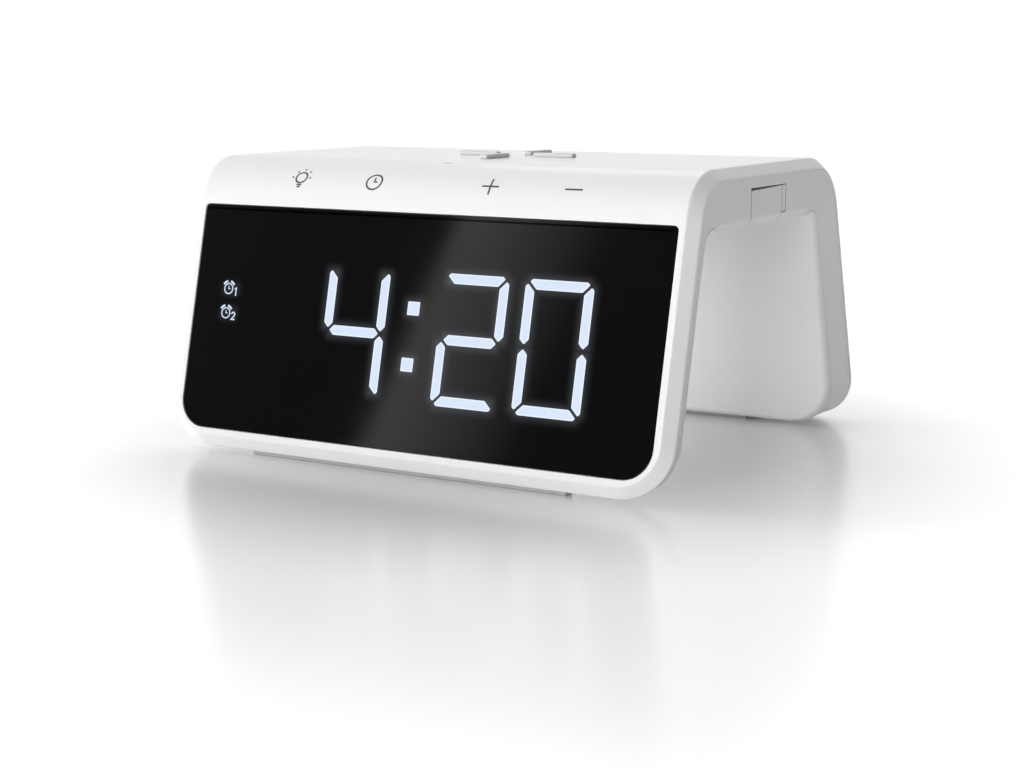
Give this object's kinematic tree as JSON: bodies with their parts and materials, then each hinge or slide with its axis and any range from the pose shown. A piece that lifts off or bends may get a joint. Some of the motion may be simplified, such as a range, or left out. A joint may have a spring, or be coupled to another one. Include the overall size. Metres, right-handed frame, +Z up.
{
  "type": "alarm clock",
  "caption": "Bedside alarm clock shaped as a bent tunnel, with a large digit display in front, touch keys, a wireless charging top and a small battery door in one end.",
  "frame": {"origin": "on the table, under the middle of the body's width and depth", "axes": "+X to the right as seen from the front, +Y to the back, +Z up"},
  "size_m": [0.165, 0.1428, 0.0863],
  "materials": {
    "shell_white": "satin white ABS, fine moulded surface",
    "frame_white": "satin white ABS, slightly matter than the shell",
    "cover_white": "milky white ABS with a soft sheen",
    "lens_black": "polished smoked black acrylic",
    "pad_white": "white silicone",
    "foot_grey": "translucent grey silicone rubber",
    "steel": "zinc plated steel",
    "tape_black": "black foam tape",
    "housing_black": "matt black reflector moulding",
    "guide_white": "milky light guides, lit cool white",
    "board_green": "solder-masked circuit board",
    "led_yellow": "phosphor-topped LED packages",
    "flex_amber": "polyimide flex",
    "copper": "enamelled copper",
    "chip_black": "moulded epoxy",
    "pipe_clear": "milky polycarbonate light pipe",
    "ferrite": "sintered ferrite",
    "capacitor": "film capacitors",
    "black_plastic": "black nylon",
    "gold": "gold-plated spring brass",
    "wire_red": "PVC insulated wire"
  },
  "bodies": {
    "clock_body": {"outer_shell": "shell_white", "end_frame_left": "frame_white", "end_frame_right": "frame_white", "inner_cover": "cover_white", "grip_pads": "pad_white", "front_foot": "foot_grey", "rear_foot": "foot_grey", "case_screws": "steel", "display_lens": "lens_black", "lens_tape": "tape_black", "digit_housing": "housing_black", "digit_light_guides": "guide_white", "display_board": "board_green", "display_leds": "led_yellow", "display_ribbon": "flex_amber", "touch_film": "flex_amber", "touch_electrodes": "copper", "main_board": "board_green", "controller_chip": "chip_black", "indicator_light_pipe": "pipe_clear", "buzzer": "black_plastic", "charging_coil": "copper", "ferrite_sheet": "ferrite", "coil_carrier": "cover_white", "charger_board": "board_green", "charger_capacitors": "capacitor", "night_light_board": "board_green", "night_light_leds": "led_yellow", "power_board": "board_green", "power_parts": "black_plastic", "power_jack": "black_plastic", "jack_pin": "gold", "power_lead": "wire_red", "board_screws": "steel", "cell_pocket": "cover_white", "coin_cell": "steel", "cell_spring": "gold", "cell_clip": "gold"},
    "strap": {"door_strap": "frame_white"},
    "door": {"battery_door": "frame_white"}
  },
  "joints": [
    {"name": "strap_hinge", "type": "hinge", "parent": "clock_body", "child": "strap", "pos_m": [0.0816, 0.00515, 0.0736], "axis": [0, 0, 1], "range_deg": [0, 50]},
    {"name": "door_hinge", "type": "hinge", "parent": "strap", "child": "door", "pos_m": [0.0816, 0.0035, 0.0736], "axis": [0, 0, 1], "range_deg": [0, 50]}
  ],
  "couplings": [
    {"joint": "door_hinge", "follows": "strap_hinge", "ratio": 1}
  ]
}
